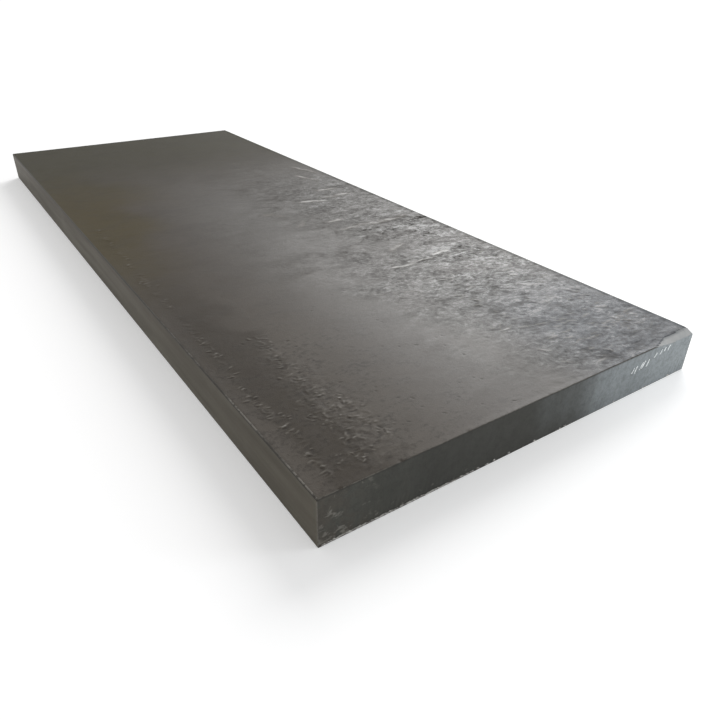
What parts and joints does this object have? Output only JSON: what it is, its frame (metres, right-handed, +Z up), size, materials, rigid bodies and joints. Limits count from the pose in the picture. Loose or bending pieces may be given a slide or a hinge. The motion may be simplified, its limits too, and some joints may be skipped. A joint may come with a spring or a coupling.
{
  "type": "steel plate",
  "caption": "Thick rectangular hot-rolled steel plate with flame-cut ends and lightly rounded arrises, lying flat as raw stock for cutting, machining or welding.",
  "frame": {"origin": "middle of the underside, on the floor", "axes": "+X along the plate's length in the rolling direction, +Y across its width, +Z up through its thickness"},
  "size_m": [3.1, 1.2, 0.125],
  "materials": {
    "mill_scale_steel": "satin"
  },
  "bodies": {
    "root": {"steel_plate": "mill_scale_steel"}
  },
  "joints": []
}
